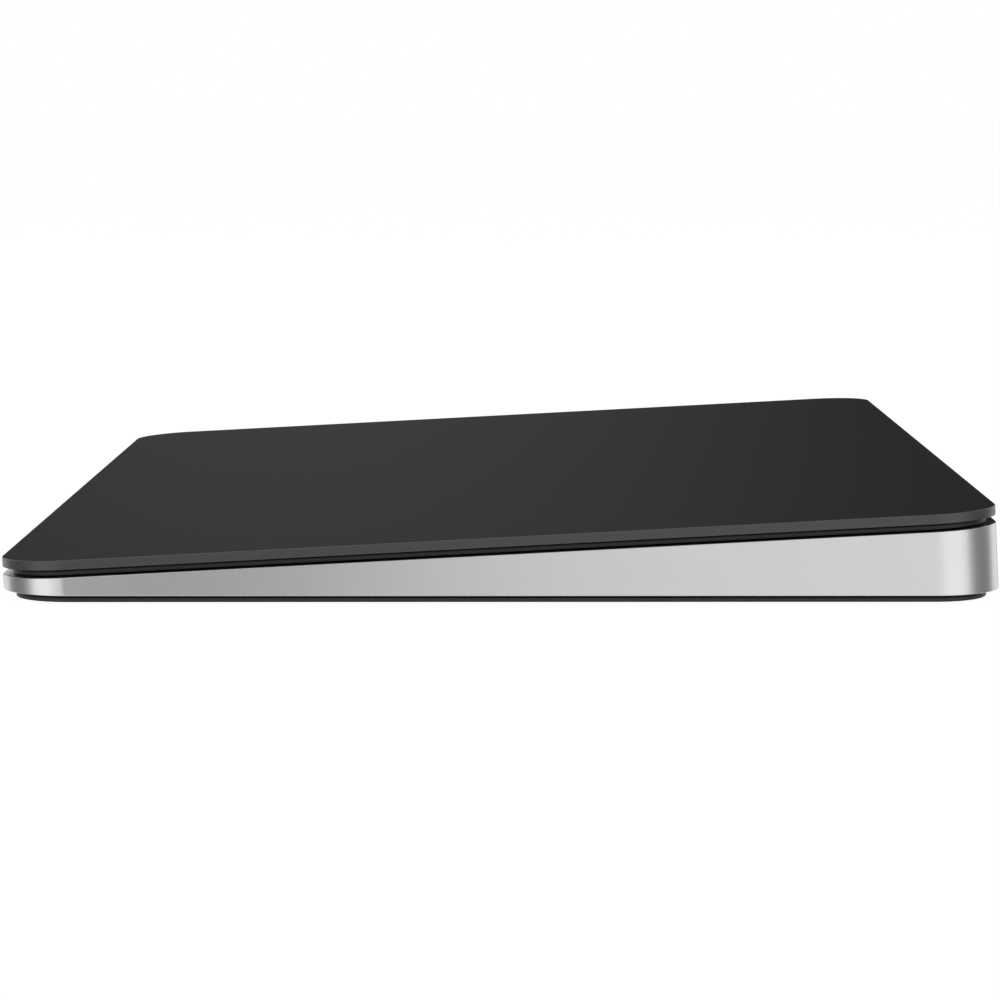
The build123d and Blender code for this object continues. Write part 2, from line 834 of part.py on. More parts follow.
nodes = {
    "shell": make_shell(),
    "bottom_cover": make_bottom_cover(),
    "cover_adhesive": make_cover_adhesive(),
    "touch_glass": make_touch_glass(),
    "sensor_film": make_sensor_film(),
    "carrier_plate": make_carrier_plate(),
    "strain_gauges": make_strain_gauges(),
    "flexure_screws": make_screws(flexure_screws()),
    "haptic_bracket": make_haptic_bracket(),
    "haptic_core": make_haptic_core(),
    "haptic_coils": make_haptic_coils(),
    "haptic_armature": make_haptic_armature(),
    "haptic_screws": make_screws(haptic_screws()),
    "battery_cells": make_battery_cells(),
    "battery_tape": make_battery_tape(),
    "battery_board": make_battery_board(),
    "battery_lead": make_battery_lead(),
    "main_board": make_main_board(),
    "board_shield_left": make_board_shield(-1),
    "board_shield_right": make_board_shield(1),
    "board_chips": make_board_chips(),
    "board_screws": make_screws(board_screws()),
    "sensor_connector": make_sensor_connector(),
    "sensor_tail": make_sensor_tail(),
    "antenna": make_antenna(),
    "port_board": make_port_board(),
    "port_screws": make_screws(port_screws()),
    "port_flex": make_port_flex(),
    "usb_receptacle": make_usb_receptacle(),
    "usb_tongue": make_usb_tongue(),
    "switch_bezel": make_switch_bezel(),
    "switch_mark": make_switch_mark(),
    "switch_knob": make_switch_knob(),
    "switch_body": make_switch_body(),
}
for name, (x, y) in foot_places().items():
    nodes[name] = make_foot(x, y)
for name, across, along in corners():
    nodes[f"flexure_{name}"] = make_flexure(across, along)
    nodes[f"gel_pad_{name}"] = make_gel_pad(across, along)

os.makedirs("parts", exist_ok=True)
for name, piece in nodes.items():
    export_step(piece, f"parts/{name}.step")
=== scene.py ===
import json
from math import atan2, copysign, cos, pi, radians, sin, tan

import bmesh
import bpy
from bpy.props import FloatProperty, FloatVectorProperty, IntProperty, PointerProperty
from mathutils import Matrix, Vector


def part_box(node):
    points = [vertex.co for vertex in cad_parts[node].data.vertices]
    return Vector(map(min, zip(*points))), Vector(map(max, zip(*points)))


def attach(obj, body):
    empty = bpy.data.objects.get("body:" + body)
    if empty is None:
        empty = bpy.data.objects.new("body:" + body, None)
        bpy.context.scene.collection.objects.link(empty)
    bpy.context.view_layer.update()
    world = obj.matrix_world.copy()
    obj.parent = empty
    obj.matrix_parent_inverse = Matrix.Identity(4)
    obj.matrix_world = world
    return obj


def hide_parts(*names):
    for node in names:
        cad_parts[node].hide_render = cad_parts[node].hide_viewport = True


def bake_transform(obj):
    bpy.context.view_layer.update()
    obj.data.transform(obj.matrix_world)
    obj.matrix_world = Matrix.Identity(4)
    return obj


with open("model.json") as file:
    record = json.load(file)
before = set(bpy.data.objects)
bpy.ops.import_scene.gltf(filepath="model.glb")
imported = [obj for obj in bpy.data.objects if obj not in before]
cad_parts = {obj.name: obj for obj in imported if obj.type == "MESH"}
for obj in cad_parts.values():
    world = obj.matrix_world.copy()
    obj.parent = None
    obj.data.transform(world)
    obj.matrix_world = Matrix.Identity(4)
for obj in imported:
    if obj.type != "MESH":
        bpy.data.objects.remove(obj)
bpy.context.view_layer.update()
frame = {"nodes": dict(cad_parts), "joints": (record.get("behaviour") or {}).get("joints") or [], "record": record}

bl_info = {
    "name": "Desk Trackpad",
    "version": (1, 0, 0),
    "blender": (4, 5, 0),
    "location": "View3D > Sidebar > Trackpad",
    "description": "Models the trackpad's visible pieces and gives all its pieces their finish",
    "category": "Add Mesh",
}

MM = 0.001
FLAT = 1e-6
GLASS_THICKNESS = 1.1 * MM
GLASS_ROUND = 0.15 * MM

# An edge is shaded sharp above the first angle, and is a corner to be rounded above the second
SHARP_ANGLE = radians(35)
CORNER_ANGLE = radians(50)

# Faces that lean to each other by less than this are one flat face
FLAT_ANGLE = radians(1)

# Least part of a face's normal that points up, or straight to the rear
UPWARD = 0.9
REARWARD = 0.99

# Faces around a foot and around an opening in the rear wall
FOOT_STEPS = 64
OPENING_STEPS = 48

# Sockets of a Mix node that is set to colours
MIX_SHARE, MIX_FIRST, MIX_SECOND = 0, 6, 7
MIX_COLOUR = 2

# Phase that a Wave node gains over one unit of its place at a scale of 1
WAVE_RATE = 20

# Width of the camera's sensor in millimetres
SENSOR_WIDTH = 36

# Body and material slot of each CAD node
BODY_OF = {
    node: body for body, nodes in frame["record"]["behaviour"]["bodies"].items() for node in nodes
}
SLOT_OF = {row["node"]: row["material_slot"] for row in frame["record"]["subparts"]}

FEET = sorted(node for node in BODY_OF if node.startswith("foot_"))
SPRINGS = sorted(
    node for node in BODY_OF if node.startswith("flexure_") and node != "flexure_screws"
)


def size_of(node):
    """Size of a CAD node's box."""
    low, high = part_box(node)
    return high - low


def middle_of(node):
    """Middle of a CAD node's box."""
    low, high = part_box(node)
    return (low + high) / 2


# The touch surface leans: the plate is pressed square to it, so the joint's axis is its normal
PRESS_AXIS = next(Vector(joint["axis"]) for joint in frame["joints"] if joint["name"] == "press")
LEAN = atan2(-PRESS_AXIS.y, PRESS_AXIS.z)


class TrackpadSizes(bpy.types.PropertyGroup):
    """Sizes of the modelled pieces"""

    width: FloatProperty(
        name="Width", description="Glass and shell, from side to side",
        default=size_of("touch_glass").x, unit="LENGTH",
    )
    corner: FloatProperty(
        name="Corner", description="Radius of the glass and shell at their four corners",
        default=8 * MM, unit="LENGTH",
    )
    corner_steps: IntProperty(
        name="Corner Steps", description="Faces around each large corner",
        default=32, min=4, max=64,
    )
    glass_thickness: FloatProperty(
        name="Glass", description="Thickness of the touch glass",
        default=GLASS_THICKNESS, unit="LENGTH",
    )
    glass_round: FloatProperty(
        name="Glass Edge", description="Radius of the glass's upper edge",
        default=GLASS_ROUND, unit="LENGTH",
    )
    carrier_top: FloatProperty(
        name="Carrier Depth", description="From the touch surface down to the carrier plate",
        default=1.22 * MM, unit="LENGTH",
    )
    carrier_thickness: FloatProperty(
        name="Carrier", description="Thickness of the carrier plate",
        default=0.6 * MM, unit="LENGTH",
    )
    plate_gap: FloatProperty(
        name="Plate Gap", description="Gap between the carrier plate and the shell's rim",
        default=0.18 * MM, unit="LENGTH",
    )
    wall: FloatProperty(
        name="Wall", description="Thickness of the shell's walls", default=2.4 * MM, unit="LENGTH",
    )
    deck: FloatProperty(
        name="Deck", description="Thickness of the shell's floor", default=0.6 * MM, unit="LENGTH",
    )
    edge_round: FloatProperty(
        name="Shell Edge", description="Radius of the shell's broken edges",
        default=0.1 * MM, unit="LENGTH",
    )
    port_round: FloatProperty(
        name="Opening Edge", description="Radius at the rim of the port and of the switch slot",
        default=0.15 * MM, unit="LENGTH",
    )
    port_fit: FloatProperty(
        name="Port Fit", description="Gap around the socket", default=0.1 * MM, unit="LENGTH",
    )
    switch_fit: FloatProperty(
        name="Switch Fit", description="Gap around the switch's bezel",
        default=0.05 * MM, unit="LENGTH",
    )
    carrier_round: FloatProperty(
        name="Carrier Edge", description="Radius of the carrier plate's upper edges",
        default=0.22 * MM, unit="LENGTH",
    )
    cover_rebate_height: FloatProperty(
        name="Cover Rebate Height", description="Height of the step around the bottom cover's top",
        default=0.23 * MM, unit="LENGTH",
    )
    cover_rebate_depth: FloatProperty(
        name="Cover Rebate Depth", description="Depth of the step around the bottom cover's top",
        default=0.9 * MM, unit="LENGTH",
    )
    cover_round: FloatProperty(
        name="Cover Edge", description="Radius of the bottom cover's upper edge",
        default=0.06 * MM, unit="LENGTH",
    )
    cover_lower_round: FloatProperty(
        name="Cover Lower Edge", description="Radius of the bottom cover's lower edge",
        default=0.15 * MM, unit="LENGTH",
    )
    foot_round: FloatProperty(
        name="Foot Edge", description="Radius of a foot's lower edge",
        default=0.12 * MM, unit="LENGTH",
    )
    foot_fit: FloatProperty(
        name="Foot Fit", description="Gap around a foot in its seat",
        default=0.05 * MM, unit="LENGTH",
    )
    small_round: FloatProperty(
        name="Small Edges", description="Radius that softens the edges of the port and the switch",
        default=0.04 * MM, unit="LENGTH",
    )
    contact_pitch: FloatProperty(
        name="Contact Pitch", description="Distance from one contact in the port to the next",
        default=0.5 * MM, unit="LENGTH",
    )
    contact_count: IntProperty(
        name="Contacts", description="Contacts on each face of the port's tongue",
        default=12, min=1, max=12,
    )
    contact_width: FloatProperty(
        name="Contact Width", description="Width of a contact", default=0.27 * MM, unit="LENGTH",
    )
    contact_length: FloatProperty(
        name="Contact Length", description="Length of a contact", default=3.4 * MM, unit="LENGTH",
    )
    contact_height: FloatProperty(
        name="Contact Height", description="How far a contact stands out of the tongue",
        default=0.03 * MM, unit="LENGTH",
    )
    contact_tip: FloatProperty(
        name="Contact Tip", description="From the tongue's tip back to the contacts",
        default=0.5 * MM, unit="LENGTH",
    )
    tongue_thickness: FloatProperty(
        name="Tongue", description="Thickness of the port's tongue",
        default=0.7 * MM, unit="LENGTH",
    )
    spring_held: FloatProperty(
        name="Spring Held",
        description="Length of a leaf spring that its seat and its gauge keep still",
        default=8.4 * MM, unit="LENGTH",
    )
    spring_bonded: FloatProperty(
        name="Spring Bonded",
        description="Length of a leaf spring that its gel pad keeps on the plate",
        default=7.4 * MM, unit="LENGTH",
    )
    cable_flat: FloatProperty(
        name="Cable Flat",
        description="Height of the sensor cable that lies flat at each of its ends",
        default=0.5 * MM, unit="LENGTH",
    )
    bend_steps: IntProperty(
        name="Bend Steps", description="Faces along a piece that bends", default=8, min=2, max=32,
    )


class TrackpadColours(bpy.types.PropertyGroup):
    """Colours of the finishes that show"""

    aluminium: FloatVectorProperty(
        name="Aluminium", description="Anodised shell", subtype="COLOR", size=4,
        default=(0.642, 0.647, 0.656, 1),
    )
    glass: FloatVectorProperty(
        name="Glass", description="Touch surface", subtype="COLOR", size=4,
        default=(0.0076, 0.0082, 0.0096, 1),
    )
    # The edge's colour is lighter than the glass's own black: painted sheen for the light that the edge reflects
    glass_edge_painted_sheen: FloatVectorProperty(
        name="Glass Edge", description="Ground edge of the glass", subtype="COLOR", size=4,
        default=(0.032, 0.033, 0.035, 1),
    )
    carrier: FloatVectorProperty(
        name="Carrier", description="Coated carrier plate", subtype="COLOR", size=4,
        default=(0.011, 0.0112, 0.012, 1),
    )
    cover: FloatVectorProperty(
        name="Cover", description="Bottom cover", subtype="COLOR", size=4,
        default=(0.045, 0.046, 0.048, 1),
    )
    foot: FloatVectorProperty(
        name="Feet", description="Rubber feet", subtype="COLOR", size=4,
        default=(0.018, 0.018, 0.019, 1),
    )
    contacts: FloatVectorProperty(
        name="Contacts", description="Gold on the port's contacts", subtype="COLOR", size=4,
        default=(0.85, 0.62, 0.28, 1),
    )
    switch: FloatVectorProperty(
        name="Switch", description="Plastic around the switch's knob", subtype="COLOR", size=4,
        default=(0.02, 0.02, 0.021, 1),
    )
    mark: FloatVectorProperty(
        name="Switch Mark", description="Shows when the switch is on", subtype="COLOR", size=4,
        default=(0.08, 0.48, 0.12, 1),
    )


class StudioSettings(bpy.types.PropertyGroup):
    """Camera and light"""

    camera_place: FloatVectorProperty(
        name="Camera", description="Where the camera stands", subtype="XYZ", size=3, unit="LENGTH",
        default=(0.47115, 0.00172, 0.05576),
    )
    camera_turn: FloatProperty(
        name="Camera Turn",
        description="Turn of the camera about the upright, from looking along +Y",
        default=radians(90.2486), unit="ROTATION",
    )
    camera_pitch: FloatProperty(
        name="Camera Pitch", description="How far the camera looks down", default=radians(6.3592),
        unit="ROTATION",
    )
    camera_roll: FloatProperty(
        name="Camera Roll", description="Turn of the camera about its line of sight",
        default=radians(-0.051), unit="ROTATION",
    )
    lens: FloatProperty(
        name="Lens", description="Focal length for a sensor 36 mm wide",
        default=125.51, min=10, max=500,
    )
    daylight: FloatProperty(
        name="Daylight", description="Strength of the even light from all around",
        default=0.55, min=0, max=2,
    )


# Shader nodes


class Signal:
    """Output of a node, which can stand in a sum or a product."""

    def __init__(self, maker, socket):
        self.maker = maker
        self.socket = socket

    def maths(self, operation, first, second):
        return self.maker.node("ShaderNodeMath", {"operation": operation}, {0: first, 1: second})

    def __add__(self, other):
        return self.maths("ADD", self, other)

    def __radd__(self, other):
        return self.maths("ADD", other, self)

    def __mul__(self, other):
        return self.maths("MULTIPLY", self, other)

    def __rmul__(self, other):
        return self.maths("MULTIPLY", other, self)


class NodeMaker:
    """Adds nodes to a node tree."""

    def __init__(self, tree):
        self.tree = tree
        tree.nodes.clear()

    def node(self, kind, settings=None, inputs=None, output=0):
        """Adds a node, sets it, then gives it its inputs, and returns one of its outputs."""
        made = self.tree.nodes.new(kind)
        for name, value in (settings or {}).items():
            setattr(made, name, value)
        for name, value in (inputs or {}).items():
            if isinstance(value, Signal):
                self.tree.links.new(value.socket, made.inputs[name])
            else:
                made.inputs[name].default_value = value
        return Signal(self, made.outputs[output]) if made.outputs else None

    def place(self, stretch=(1, 1, 1)):
        """Place on the object in its own metres, squeezed by a factor along each axis."""
        spot = self.node("ShaderNodeTexCoord", output="Object")
        return self.node("ShaderNodeMapping", {}, {"Vector": spot, "Scale": stretch})

    def noise(self, grain, detail=2.0, stretch=(1, 1, 1)):
        """Noise from 0 to 1 whose blotches are about one grain wide."""
        inputs = {"Vector": self.place(stretch), "Scale": 1 / grain, "Detail": detail}
        return self.node("ShaderNodeTexNoise", {}, inputs)

    def bands(self, pitch, direction, distortion=0.0):
        """Bands from 0 to 1 across a direction, one in each pitch."""
        settings = {"bands_direction": direction, "wave_profile": "TRI"}
        scale = 2 * pi / (WAVE_RATE * pitch)
        inputs = {"Vector": self.place(), "Scale": scale, "Distortion": distortion}
        return self.node("ShaderNodeTexWave", settings, inputs, "Fac")

    def blend(self, share, first, second):
        """Colour that goes from the first to the second with the share."""
        inputs = {MIX_SHARE: share, MIX_FIRST: first, MIX_SECOND: second}
        return self.node("ShaderNodeMix", {"data_type": "RGBA"}, inputs, MIX_COLOUR)

    def shades(self, share, colour, low, high):
        """Colour that goes from its low to its high multiple with the share."""
        return self.blend(share, multiple(colour, low), multiple(colour, high))

    def bump(self, height, depth):
        """Relief of a depth in metres."""
        return self.node("ShaderNodeBump", {}, {"Height": height, "Distance": depth})


def swing(middle, reach, share):
    """Value that goes with the share from a reach below the middle to a reach above it."""
    return middle - reach + 2 * reach * share


def multiple(colour, factor):
    """The colour times a factor, as opaque as before."""
    return (*(channel * factor for channel in colour[:3]), 1)


def new_finish(name, surface):
    """Material whose shader gets the inputs that the surface function gives."""
    finish = bpy.data.materials.new(name)
    finish.use_nodes = True
    maker = NodeMaker(finish.node_tree)
    shader = maker.node("ShaderNodeBsdfPrincipled", {}, surface(maker))
    maker.node("ShaderNodeOutputMaterial", {}, {"Surface": shader})
    return finish


def blasted_metal(colour, roughness, grain, relief):
    """Bead-blasted and anodised metal: a fine even grain under faint clouds."""
    cloud = 40 * grain
    cloud_share = 0.4

    def surface(maker):
        fine = maker.noise(grain)
        mottle = (1 - cloud_share) * fine + cloud_share * maker.noise(cloud)
        return {
            "Base Color": maker.shades(mottle, colour, low=0.955, high=1.045),
            "Metallic": 1.0,
            "Roughness": swing(roughness, reach=0.03, share=fine),
            "Normal": maker.bump(fine, relief),
        }

    return surface


def drawn_metal(colour, roughness, grain, stretch):
    """Rolled or brushed metal: long fine lines along the axis that the stretch makes slow."""

    def surface(maker):
        lines = maker.noise(grain, detail=3.0, stretch=stretch)
        return {
            "Base Color": maker.shades(lines, colour, low=0.88, high=1.08),
            "Metallic": 1.0,
            "Roughness": swing(roughness, reach=0.06, share=lines),
            "Normal": maker.bump(lines, depth=0.01 * MM),
        }

    return surface


def moulded(colour, roughness, grain, relief, shine=0.5):
    """Moulded plastic, rubber or coating with a fine pebbled skin under faint clouds."""
    cloud = 60 * grain

    def surface(maker):
        pebbles = maker.noise(grain, detail=1.0)
        return {
            "Base Color": maker.shades(maker.noise(cloud), colour, low=0.9, high=1.1),
            "Roughness": swing(roughness, reach=0.05, share=pebbles),
            "Specular IOR Level": shine,
            "Normal": maker.bump(pebbles, relief),
        }

    return surface


def striped(colour, line_colour, pitch, direction, roughness, metallic):
    """Film or winding with parallel lines of another colour."""

    def surface(maker):
        lines = maker.bands(pitch, direction)
        return {
            "Base Color": maker.blend(lines, colour, line_colour),
            "Metallic": metallic,
            "Roughness": swing(roughness, reach=0.05, share=lines),
            "Normal": maker.bump(lines, depth=0.02 * MM),
        }

    return surface


def printed_board(colour):
    """Solder mask over copper lines, which stand out a little."""

    def surface(maker):
        across = maker.bands(0.9 * MM, "X", distortion=2.0)
        along = maker.bands(1.3 * MM, "Y", distortion=3.0)
        clouds = maker.noise(4 * MM)
        lines = across * along
        return {
            "Base Color": maker.shades(lines * clouds, colour, low=1, high=2.2),
            "Roughness": swing(0.4, reach=0.05, share=clouds),
            "Normal": maker.bump(lines, depth=0.03 * MM),
        }

    return surface


def pouch(colour):
    """Laminated foil around a battery cell, faintly creased."""

    def surface(maker):
        creases = maker.noise(6 * MM, detail=4.0)
        return {
            "Base Color": maker.shades(creases, colour, low=0.8, high=1.1),
            "Metallic": 0.8,
            "Roughness": swing(0.375, reach=0.075, share=creases),
            "Normal": maker.bump(creases, depth=0.2 * MM),
        }

    return surface


def satin_glass(colour):
    """Etched black glass: a soft sheen with a very fine tooth."""

    def surface(maker):
        tooth = maker.noise(0.05 * MM, detail=1.0)
        return {
            "Base Color": colour,
            "Roughness": swing(0.59, reach=0.03, share=tooth),
            "Specular IOR Level": 0.03,
            "Normal": maker.bump(tooth, depth=0.001 * MM),
        }

    return surface


def edge_glass_painted_sheen(colour):
    """Edge of the glass: fine lines along it, on a colour lighter than the glass's face, which is painted sheen
    for the light that the edge reflects.
    """

    def surface(maker):
        lines = maker.noise(0.08 * MM, stretch=(1, 1, 6))
        return {
            "Base Color": maker.shades(lines, colour, low=0.85, high=1.15),
            "Roughness": swing(0.33, reach=0.05, share=lines),
            "Normal": maker.bump(lines, depth=0.002 * MM),
        }

    return surface


# Finishes of the inner pieces and of the small ones at the rear, by material slot. The roughness is
# the middle one. The lines of a drawn metal run along the axis for which its stretch is smallest.
INNER_FINISHES = {
    "sensor_film": striped((0.09, 0.08, 0.06, 1), (0.35, 0.33, 0.28, 1), 2.5 * MM, "X", 0.3, 0.0),
    "adhesive": moulded((0.02, 0.02, 0.021, 1), 0.6, 0.4 * MM, 0.01 * MM, 0.2),
    "spring_steel": drawn_metal((0.55, 0.55, 0.54, 1), 0.32, 0.15 * MM, (0.05, 1, 1)),
    "gel": moulded((0.12, 0.12, 0.13, 1), 0.25, 0.8 * MM, 0.01 * MM),
    "gauge_foil": striped((0.5, 0.3, 0.1, 1), (0.75, 0.6, 0.3, 1), 0.25 * MM, "X", 0.4, 0.6),
    "bracket_aluminium": drawn_metal((0.62, 0.63, 0.64, 1), 0.38, 0.2 * MM, (0.08, 1, 1)),
    "core_steel": drawn_metal((0.35, 0.35, 0.36, 1), 0.42, 0.2 * MM, (1, 0.06, 1)),
    "coil_copper": striped((0.75, 0.33, 0.16, 1), (0.35, 0.12, 0.05, 1), 0.12 * MM, "Z", 0.33, 1.0),
    "screw_steel": drawn_metal((0.42, 0.42, 0.43, 1), 0.34, 0.1 * MM, (1, 1, 0.1)),
    "battery_pouch": pouch((0.5, 0.51, 0.52, 1)),
    "circuit_board": printed_board((0.015, 0.05, 0.03, 1)),
    "flex_cable": striped((0.42, 0.17, 0.03, 1), (0.6, 0.3, 0.08, 1), 0.6 * MM, "X", 0.4, 0.1),
    "shield_steel": drawn_metal((0.62, 0.61, 0.58, 1), 0.28, 0.2 * MM, (1, 0.05, 1)),
    "chip": moulded((0.02, 0.02, 0.021, 1), 0.45, 0.1 * MM, 0.004 * MM),
    "connector_plastic": moulded((0.7, 0.66, 0.58, 1), 0.42, 0.15 * MM, 0.004 * MM),
    "antenna_plastic": moulded((0.5, 0.5, 0.48, 1), 0.4, 0.2 * MM, 0.005 * MM),
    "port_metal": drawn_metal((0.56, 0.56, 0.56, 1), 0.26, 0.08 * MM, (1, 0.1, 1)),
    "port_plastic": moulded((0.016, 0.016, 0.017, 1), 0.38, 0.08 * MM, 0.003 * MM),
}


def inner_finish(slot):
    """Finish of an inner material slot, made where it is first used."""
    name = "inner " + slot.replace("_", " ")
    return bpy.data.materials.get(name) or new_finish(name, INNER_FINISHES[slot])


# Shapes


def touch_surface():
    """Place of the middle of the touch surface, leaning as it does, and its length up the slope."""
    low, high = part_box("touch_glass")
    front = low.y - GLASS_ROUND * sin(LEAN)
    reach = high.y - GLASS_THICKNESS * sin(LEAN) - front
    height = low.z + GLASS_THICKNESS * cos(LEAN) + reach / 2 * tan(LEAN)
    place = Matrix.Translation((0, front + reach / 2, height)) @ Matrix.Rotation(LEAN, 4, "X")
    return place, reach / cos(LEAN)


SURFACE, SURFACE_LENGTH = touch_surface()


def level_on_line(y, level):
    """Place on the line square to the touch surface, at y up its slope, where it meets a level."""
    return (level - SURFACE.translation.z - y * sin(LEAN)) / cos(LEAN)


def round_edges(shape, edges, radius, steps, clamp=False):
    """Rounds edges with an arc of so many faces, and may keep it off the next edges."""
    bmesh.ops.bevel(
        shape, geom=edges, offset=radius, offset_type="OFFSET", affect="EDGES", segments=steps,
        profile=0.5, material=-1, clamp_overlap=clamp,
    )


def plate(size_x, size_y, thickness, corner, steps):
    """Plate with round corners, whose top lies on z = 0."""
    shape = bmesh.new()
    middle = Matrix.Translation((0, 0, -thickness / 2))
    block = Matrix.Diagonal((size_x, size_y, thickness, 1))
    bmesh.ops.create_cube(shape, size=1, matrix=middle @ block)
    uprights = [
        edge for edge in shape.edges if (edge.verts[0].co - edge.verts[1].co).xy.length < FLAT
    ]
    round_edges(shape, uprights, corner, steps)
    return shape


def end_face(shape, side):
    """Highest face for a side of 1 and lowest for -1."""
    return max(shape.faces, key=lambda face: side * face.calc_center_median().z)


def ring_of(shape, place, length, height, steps):
    """Round-ended ring of edges around a place, in the plane of X and Z."""
    turn = Matrix.Rotation(pi / 2, 4, "X") @ Matrix.Rotation(pi / steps, 4, "Z")
    ring = bmesh.ops.create_circle(shape, segments=steps, radius=height / 2, matrix=turn)["verts"]
    for vertex in ring:
        vertex.co.x += copysign((length - height) / 2, vertex.co.x)
        vertex.co += place
    return ring


def edges_of(vertices):
    """Edges that join these vertices."""
    chosen = set(vertices)
    touching = dict.fromkeys(edge for vertex in vertices for edge in vertex.link_edges)
    return [edge for edge in touching if chosen.issuperset(edge.verts)]


def refill(shape, face, rings):
    """Fills a flat face anew and leaves the rings of edges in its plane open."""
    normal = face.normal.copy()
    edges = list(face.edges) + [edge for ring in rings for edge in edges_of(ring)]
    bmesh.ops.delete(shape, geom=[face], context="FACES_ONLY")
    bmesh.ops.triangle_fill(shape, use_beauty=True, edges=edges, normal=normal)


def new_piece(name, shape, finishes, node, stands_in=True, bend=None):
    """Makes the shape a piece that shares a CAD node's body, unless it has a bend, and may stand in for it.

    A bend gives two bodies, and the places where the piece leaves the first and joins the second; these are not
    used: with a bend the piece only keeps its place in its mesh and joins no body.
    """
    shape.normal_update()
    data = bpy.data.meshes.new(name)
    shape.to_mesh(data)
    shape.free()
    for finish in finishes:
        data.materials.append(finish)
    data.shade_smooth()
    data.set_sharp_from_angle(angle=SHARP_ANGLE)
    piece = bpy.data.objects.new(name, data)
    bpy.context.scene.collection.objects.link(piece)
    piece.modifiers.new("Even shading", "WEIGHTED_NORMAL").keep_sharp = True
    if bend:
        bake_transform(piece)
    else:
        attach(piece, BODY_OF[node])
    if stands_in:
        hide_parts(node)


def merged(node):
    """Copy of a CAD node with its flat faces made whole."""
    shape = bmesh.new()
    shape.from_mesh(frame["nodes"][node].data)
    bmesh.ops.remove_doubles(shape, verts=shape.verts, dist=FLAT)
    bmesh.ops.dissolve_limit(
        shape, angle_limit=FLAT_ANGLE, verts=shape.verts, edges=shape.edges,
        use_dissolve_boundaries=False,
    )
    return shape


def bending_piece(name, node, finish, start, end, steps):
    """Stands in for a CAD node whose start is fixed to the shell and whose end is on the plate."""
    shape = merged(node)
    for step in range(steps + 1):
        bmesh.ops.bisect_plane(
            shape, geom=shape.verts[:] + shape.edges[:] + shape.faces[:], dist=FLAT,
            plane_co=start.lerp(end, step / steps), plane_no=(end - start).normalized(),
        )
    new_piece(name, shape, [finish], node, bend=("base", "suspension", start, end))


def softened(node, radius, upper_only=False):
    """Merged copy of a CAD node with its corners, or only the upper ones, rounded."""
    shape = merged(node)
    corners = [
        edge for edge in shape.edges if edge.is_manifold and edge.calc_face_angle() > CORNER_ANGLE
    ]
    if upper_only:
        corners = [
            edge for edge in corners if any(face.normal.z > UPWARD for face in edge.link_faces)
        ]
    round_edges(shape, corners, radius, steps=2, clamp=True)
    return shape


# Operators


class TRACKPAD_OT_touch_glass(bpy.types.Operator):
    """Black glass with a round edge, whose lighter colour is painted sheen"""

    bl_idname = "trackpad.touch_glass"
    bl_label = "Touch Glass"

    def execute(self, context):
        sizes, colours = context.scene.trackpad_sizes, context.scene.trackpad_colours
        shape = plate(
            sizes.width, SURFACE_LENGTH, sizes.glass_thickness, sizes.corner, sizes.corner_steps
        )
        round_edges(shape, list(end_face(shape, 1).edges), sizes.glass_round, steps=4)
        for face in shape.faces:
            face.material_index = int(face.normal.z < UPWARD)
        shape.transform(SURFACE)
        # Upper faces get the satin glass, the rest the lighter edge finish, whose colour is painted sheen
        finishes = [
            new_finish("satin glass", satin_glass(colours.glass)),
            new_finish("glass edge painted sheen", edge_glass_painted_sheen(colours.glass_edge_painted_sheen)),
        ]
        new_piece("glass_plate", shape, finishes, "touch_glass")
        return {"FINISHED"}


class TRACKPAD_OT_carrier(bpy.types.Operator):
    """Dark plate under the glass, with the window for the sensor's tail"""

    bl_idname = "trackpad.carrier"
    bl_label = "Carrier Plate"

    def execute(self, context):
        sizes, colours = context.scene.trackpad_sizes, context.scene.trackpad_colours
        coating = moulded(colours.carrier, roughness=0.5, grain=0.1 * MM, relief=0.003 * MM)
        finish = new_finish("coated plate", coating)
        shape = softened("carrier_plate", sizes.carrier_round, upper_only=True)
        new_piece("carrier", shape, [finish], "carrier_plate")
        return {"FINISHED"}


